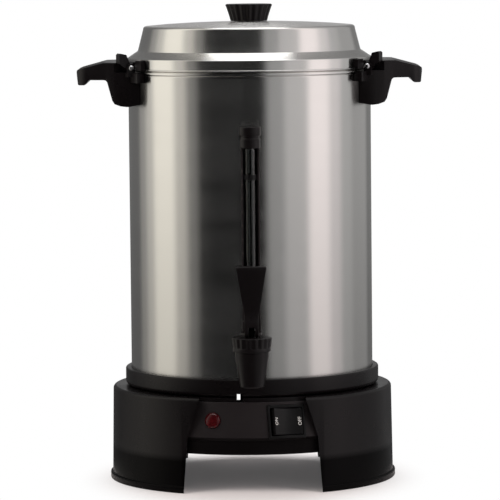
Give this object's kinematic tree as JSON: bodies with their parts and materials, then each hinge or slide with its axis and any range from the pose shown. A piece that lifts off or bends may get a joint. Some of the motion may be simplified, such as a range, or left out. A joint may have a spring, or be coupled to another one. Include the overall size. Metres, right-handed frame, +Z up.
{
  "type": "coffee urn",
  "caption": "Percolator coffee urn: polished aluminium tank on a black moulded base, with a self-closing tap, sight gauge, rocker switch, pilot lamp, latched lid and an inner pump with basket",
  "frame": {"origin": "on the table, under the middle of the whole urn's width and depth", "axes": "+Z up, the tap faces -Y, the handles lie along X"},
  "size_m": [0.3232, 0.3028, 0.4472],
  "materials": {
    "tank_polish": "polished",
    "plain_aluminium": "satin",
    "black_phenolic": "semi-gloss moulded",
    "black_nylon": "satin moulded",
    "red_lens": "clear red, glossy",
    "clear_glass": "clear",
    "zinc_steel": "zinc plated",
    "stainless": "bright",
    "silicone": "matte",
    "heater_sheath": "matte",
    "brass_pin": "bright"
  },
  "bodies": {
    "urn": {"tank": "tank_polish", "tank_nut_1": "zinc_steel", "tank_nut_2": "zinc_steel", "tank_nut_3": "zinc_steel", "base_shell": "black_phenolic", "base_collar": "black_phenolic", "control_panel": "black_phenolic", "rear_panel": "black_phenolic", "bottom_cover": "zinc_steel", "cover_screw_1": "zinc_steel", "cover_screw_2": "zinc_steel", "cover_screw_3": "zinc_steel", "cover_screw_4": "zinc_steel", "switch_housing": "black_nylon", "indicator_lens": "red_lens", "indicator_lamp": "black_nylon", "inlet_housing": "black_nylon", "inlet_pin_1": "brass_pin", "inlet_pin_2": "brass_pin", "heating_element": "heater_sheath", "thermostat": "black_nylon", "thermal_fuse": "stainless", "handle_right": "black_phenolic", "handle_left": "black_phenolic", "latch_pin_right": "stainless", "latch_pin_left": "stainless", "handle_screw_right_front": "stainless", "handle_screw_right_rear": "stainless", "handle_screw_left_front": "stainless", "handle_screw_left_rear": "stainless", "tap_body": "black_phenolic", "tap_gasket": "silicone", "tap_nut": "black_nylon", "bonnet": "black_phenolic", "valve_spring": "stainless", "gauge_seal": "silicone", "gauge_glass": "clear_glass", "gauge_guard": "black_phenolic", "gauge_cap": "black_phenolic", "gauge_marker": "black_nylon"},
    "rocker": {"rocker": "black_nylon"},
    "lid": {"lid": "tank_polish", "lid_ear_right": "black_phenolic", "lid_ear_left": "black_phenolic", "knob": "black_phenolic", "knob_washer": "silicone", "knob_screw": "stainless"},
    "latch_right": {"latch_right": "black_phenolic"},
    "latch_left": {"latch_left": "black_phenolic"},
    "valve_stem": {"valve_stem": "black_nylon", "seat_cup": "silicone", "lever_pin": "stainless"},
    "lever": {"lever": "black_phenolic"},
    "pump": {"pump_tube": "plain_aluminium"},
    "basket": {"basket": "plain_aluminium"},
    "spreader": {"spreader": "plain_aluminium"}
  },
  "joints": [
    {"name": "rocker_rock", "type": "hinge", "parent": "urn", "child": "rocker", "pos_m": [0.03026, -0.09822, 0.06526], "axis": [0.0669, -0.2607, -0.9631], "range_deg": [0, 18]},
    {"name": "lid_lift", "type": "slide", "parent": "urn", "child": "lid", "axis": [0, 0, 1], "range_m": [0, 0.62]},
    {"name": "spreader_lift", "type": "slide", "parent": "urn", "child": "spreader", "axis": [0, 0, 1], "range_m": [0, 0.5022]},
    {"name": "basket_lift", "type": "slide", "parent": "urn", "child": "basket", "axis": [0, 0, 1], "range_m": [0, 0.4402]},
    {"name": "pump_lift", "type": "slide", "parent": "urn", "child": "pump", "axis": [0, 0, 1], "range_m": [0, 0.31]},
    {"name": "latch_right_close", "type": "hinge", "parent": "urn", "child": "latch_right", "pos_m": [0.11243, -0.02928, 0.3894], "axis": [-0.3989, -0.917, 0], "range_deg": [0, 40]},
    {"name": "latch_left_close", "type": "hinge", "parent": "urn", "child": "latch_left", "pos_m": [-0.11243, -0.02928, 0.3894], "axis": [-0.3989, 0.917, 0], "range_deg": [0, 40]},
    {"name": "stem_lift", "type": "slide", "parent": "urn", "child": "valve_stem", "axis": [0, 0, 1], "range_m": [0, 0.0041], "deforming": ["valve_spring"]},
    {"name": "lever_tilt", "type": "hinge", "parent": "valve_stem", "child": "lever", "pos_m": [0, -0.13338, 0.1524], "axis": [1, 0, 0], "range_deg": [0, 38], "stiffness_Nm_per_rad": 0.3, "springref_deg": -11.46}
  ],
  "couplings": [
    {"joint": "spreader_lift", "follows": "lid_lift", "ratio": 0.81},
    {"joint": "basket_lift", "follows": "lid_lift", "ratio": 0.71},
    {"joint": "pump_lift", "follows": "lid_lift", "ratio": 0.5},
    {"joint": "stem_lift", "follows": "lever_tilt", "m_per_rad": 0.006}
  ]
}
